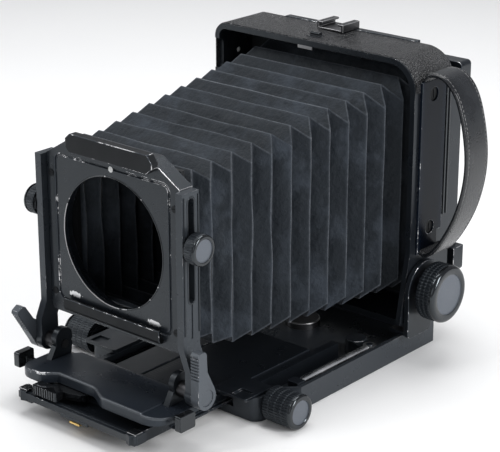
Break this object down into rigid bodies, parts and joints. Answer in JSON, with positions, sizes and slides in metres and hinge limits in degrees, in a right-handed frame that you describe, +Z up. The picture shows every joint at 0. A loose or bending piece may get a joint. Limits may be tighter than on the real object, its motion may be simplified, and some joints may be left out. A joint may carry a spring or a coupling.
{
  "type": "folding field camera",
  "caption": "Metal folding field camera for sheet film, opened: bellows, lens panel on a tilting standard, geared track, revolving focusing back and hand strap",
  "frame": {"origin": "mouth of the tripod socket, in the bed's flat underside", "axes": "+Z up, the lens points along -Y, +X to the right as seen from the front"},
  "size_m": [0.2441, 0.3172, 0.2216],
  "materials": {
    "black_paint": "satin black paint over die-cast alloy",
    "black_steel": "black-finished steel",
    "chrome": "bright chrome plate",
    "brass": "plain brass",
    "leather": "black stitched leather",
    "bellows_cloth": "black coated cloth",
    "ground_glass": "finely ground glass"
  },
  "bodies": {
    "bed": {"bed_tray": "black_paint", "tripod_socket": "black_steel", "bed_rails": "black_paint", "gearbox_left": "black_paint", "gearbox_right": "black_paint", "strut_rods": "chrome", "strut_mountings": "black_paint", "rear_brackets": "black_paint", "bellows_main": "bellows_cloth"},
    "track": {"track_plate": "black_paint", "track_end": "black_paint", "focus_racks": "black_steel", "stop_tab": "brass", "bellows_slide": "bellows_cloth"},
    "pinion": {"pinion_shaft": "black_steel", "pinions": "black_steel"},
    "focus_right": {"focus_knob_right": "black_paint", "drive_gear_right": "black_steel"},
    "focus_left": {"focus_knob_left": "black_paint", "drive_gear_left": "black_steel"},
    "carriage": {"base_carriage": "black_paint", "bellows_swing": "bellows_cloth"},
    "front_base": {"base_frame": "black_paint", "base_cover": "black_paint", "bellows_tilt": "bellows_cloth"},
    "swing_lock": {"swing_lever": "black_steel"},
    "tab_right": {"release_tab_right": "black_steel"},
    "tab_left": {"release_tab_left": "black_steel"},
    "front_standard": {"upright_left": "black_paint", "upright_right": "black_paint", "tilt_pins": "black_steel"},
    "tilt_lock_right": {"tilt_lever_right": "black_steel"},
    "tilt_lock_left": {"tilt_lever_left": "black_steel"},
    "panel": {"lens_panel": "black_paint", "board_lip": "black_steel", "panel_screws": "black_steel", "bellows_front_frame": "black_paint", "bellows_rise": "bellows_cloth"},
    "board_lock": {"board_lock_bar": "black_paint"},
    "rise_lock_right": {"rise_knob_right": "black_paint"},
    "rise_lock_left": {"rise_knob_left": "black_paint"},
    "rear_case": {"case_shell": "black_paint", "bellows_rear_frame": "black_paint", "accessory_shoe": "black_steel", "hood_catch": "black_steel", "back_retainer": "black_paint", "strap_plate": "black_paint", "strap_screws": "black_steel", "hand_strap": "leather", "bellows_rear": "bellows_cloth"},
    "tilt_knob_r": {"tilt_knob_right": "black_paint"},
    "tilt_knob_l": {"tilt_knob_left": "black_paint"},
    "back": {"back_ring": "black_paint", "back_plate": "black_paint", "back_springs": "black_steel"},
    "glass": {"glass_frame": "black_paint", "ground_glass": "ground_glass", "hood_frame": "black_paint", "hood_pin": "black_steel"},
    "hood": {"hood_cover": "black_paint"}
  },
  "joints": [
    {"name": "focus_slide", "type": "slide", "parent": "bed", "child": "track", "axis": [0, -1, 0], "range_m": [-0.028, 0.05], "deforming": ["bellows_main"]},
    {"name": "pinion_turn", "type": "hinge", "parent": "bed", "child": "pinion", "pos_m": [0, -0.13, 0.0054], "axis": [1, 0, 0], "range_deg": [-719, 1279]},
    {"name": "focus_knob_right_turn", "type": "hinge", "parent": "bed", "child": "focus_right", "pos_m": [0.09, -0.13, 0.0123], "axis": [1, 0, 0], "range_deg": [-642, 362]},
    {"name": "focus_knob_left_turn", "type": "hinge", "parent": "bed", "child": "focus_left", "pos_m": [-0.09, -0.13, 0.0123], "axis": [1, 0, 0], "range_deg": [-642, 362]},
    {"name": "base_slide", "type": "slide", "parent": "track", "child": "carriage", "axis": [0, -1, 0], "range_m": [-0.045, 0.006], "deforming": ["bellows_slide"]},
    {"name": "front_swing", "type": "hinge", "parent": "carriage", "child": "front_base", "pos_m": [0, -0.196, 0.022], "axis": [0, 0, 1], "range_deg": [-7, 7], "deforming": ["bellows_swing"]},
    {"name": "swing_lever_turn", "type": "hinge", "parent": "front_base", "child": "swing_lock", "pos_m": [-0.012, -0.213, 0.018], "axis": [0, 0, 1], "range_deg": [0, 14]},
    {"name": "tab_right_push", "type": "slide", "parent": "front_base", "child": "tab_right", "axis": [-1, 0, 0], "range_m": [0, 0.003], "stiffness_N_per_m": 600, "springref_m": -0.001},
    {"name": "tab_left_push", "type": "slide", "parent": "front_base", "child": "tab_left", "axis": [1, 0, 0], "range_m": [0, 0.003], "stiffness_N_per_m": 600, "springref_m": -0.001},
    {"name": "front_tilt", "type": "hinge", "parent": "front_base", "child": "front_standard", "pos_m": [0, -0.19, 0.036], "axis": [1, 0, 0], "range_deg": [-12, 12], "deforming": ["bellows_tilt"]},
    {"name": "tilt_lever_right_turn", "type": "hinge", "parent": "front_standard", "child": "tilt_lock_right", "pos_m": [0.074, -0.19, 0.036], "axis": [1, 0, 0], "range_deg": [-30, 60]},
    {"name": "tilt_lever_left_turn", "type": "hinge", "parent": "front_standard", "child": "tilt_lock_left", "pos_m": [-0.074, -0.19, 0.036], "axis": [1, 0, 0], "range_deg": [-61, 29]},
    {"name": "rise", "type": "slide", "parent": "front_standard", "child": "panel", "axis": [0, 0, 1], "range_m": [-0.012, 0.028], "deforming": ["bellows_rise"]},
    {"name": "board_lock_slide", "type": "slide", "parent": "panel", "child": "board_lock", "axis": [0, 0, 1], "range_m": [0, 0.006]},
    {"name": "rise_knob_right_turn", "type": "hinge", "parent": "panel", "child": "rise_lock_right", "pos_m": [0.07, -0.1892, 0.134], "axis": [1, 0, 0], "range_deg": [-360, 0]},
    {"name": "rise_knob_left_turn", "type": "hinge", "parent": "panel", "child": "rise_lock_left", "pos_m": [-0.07, -0.1892, 0.134], "axis": [1, 0, 0], "range_deg": [0, 360]},
    {"name": "rear_tilt", "type": "hinge", "parent": "bed", "child": "rear_case", "pos_m": [0, 0.02, 0.0505], "axis": [1, 0, 0], "range_deg": [-6, 6], "deforming": ["bellows_rear"]},
    {"name": "tilt_knob_right_turn", "type": "hinge", "parent": "bed", "child": "tilt_knob_r", "pos_m": [0.105, 0.02, 0.0505], "axis": [1, 0, 0], "range_deg": [-360, 0]},
    {"name": "tilt_knob_left_turn", "type": "hinge", "parent": "bed", "child": "tilt_knob_l", "pos_m": [-0.105, 0.02, 0.0505], "axis": [1, 0, 0], "range_deg": [0, 360]},
    {"name": "back_turn", "type": "hinge", "parent": "rear_case", "child": "back", "pos_m": [0, 0.058, 0.127], "axis": [0, 1, 0], "continuous": true},
    {"name": "glass_pull", "type": "slide", "parent": "back", "child": "glass", "axis": [0, 1, 0], "range_m": [0, 0.007], "stiffness_N_per_m": 2500, "springref_m": -0.004, "deforming": ["back_springs"]},
    {"name": "hood_open", "type": "hinge", "parent": "glass", "child": "hood", "pos_m": [0, 0.0835, 0.1825], "axis": [1, 0, 0], "range_deg": [0, 100]}
  ],
  "couplings": [
    {"joint": "pinion_turn", "follows": "focus_slide", "rad_per_m": 444.44},
    {"joint": "focus_knob_right_turn", "follows": "focus_slide", "rad_per_m": -222.22},
    {"joint": "focus_knob_left_turn", "follows": "focus_slide", "rad_per_m": -222.22}
  ]
}
